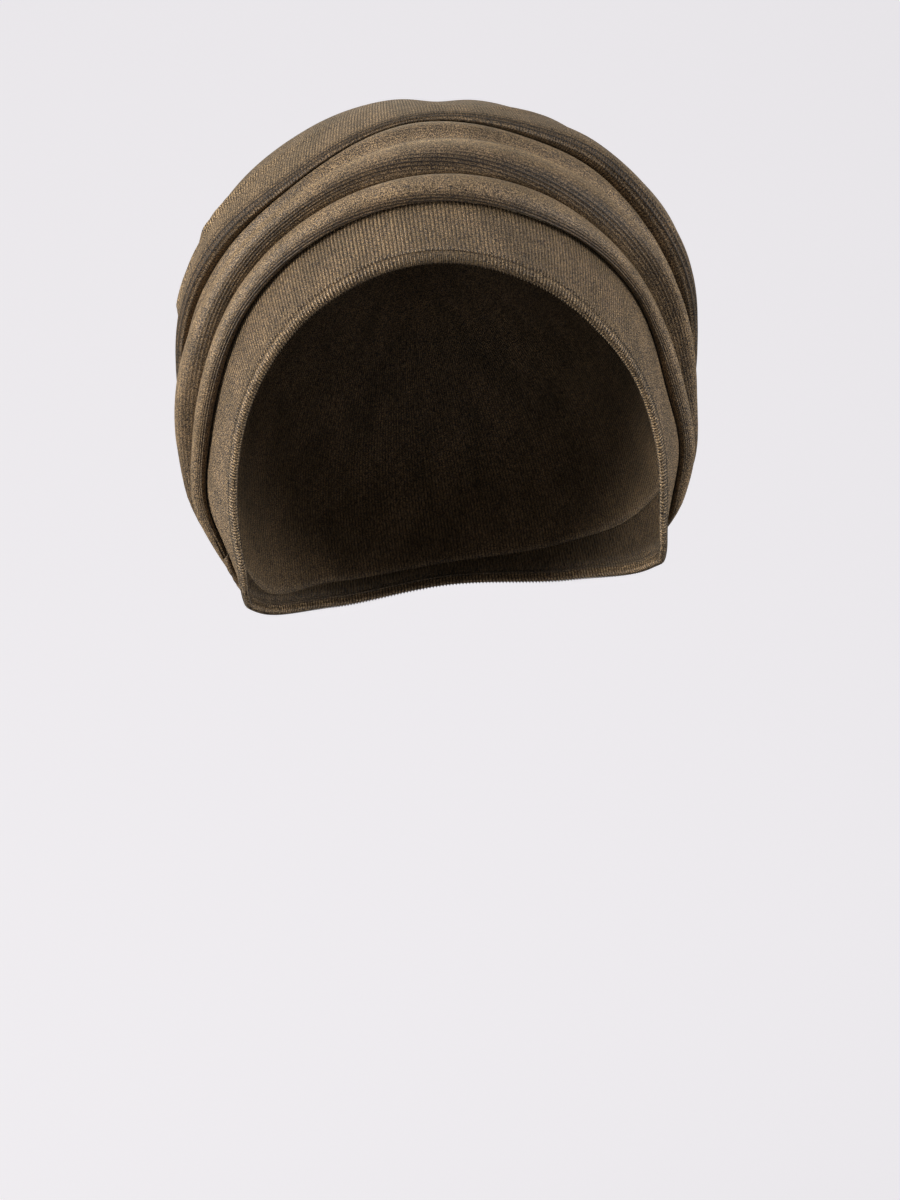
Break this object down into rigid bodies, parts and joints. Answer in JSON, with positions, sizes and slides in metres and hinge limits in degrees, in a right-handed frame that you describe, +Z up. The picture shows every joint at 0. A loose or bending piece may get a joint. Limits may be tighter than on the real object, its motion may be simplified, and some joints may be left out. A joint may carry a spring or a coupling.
{
  "type": "turban headwrap",
  "caption": "Pre-tied turban headwrap in ribbed stretch knit, with a fitted cap, a front roll, a draped pleat and a loose crown, shown as worn.",
  "frame": {"origin": "inside of the crown, where the top of the head touches", "axes": "+Z up when worn, the face looks along -Y, the wearer's left is +X"},
  "size_m": [0.1924, 0.1933, 0.1809],
  "materials": {
    "hem_knit": "ribbed knit, folded and stitched",
    "cap_knit": "ribbed stretch knit, soft sheen",
    "roll_knit": "ribbed stretch knit, soft sheen",
    "drape_knit": "ribbed stretch knit, soft sheen",
    "crown_knit": "ribbed stretch knit, soft sheen"
  },
  "bodies": {
    "root": {"hem_band": "hem_knit", "inner_cap": "cap_knit", "front_roll": "roll_knit", "middle_drape": "drape_knit", "crown_drape": "crown_knit"}
  },
  "joints": []
}
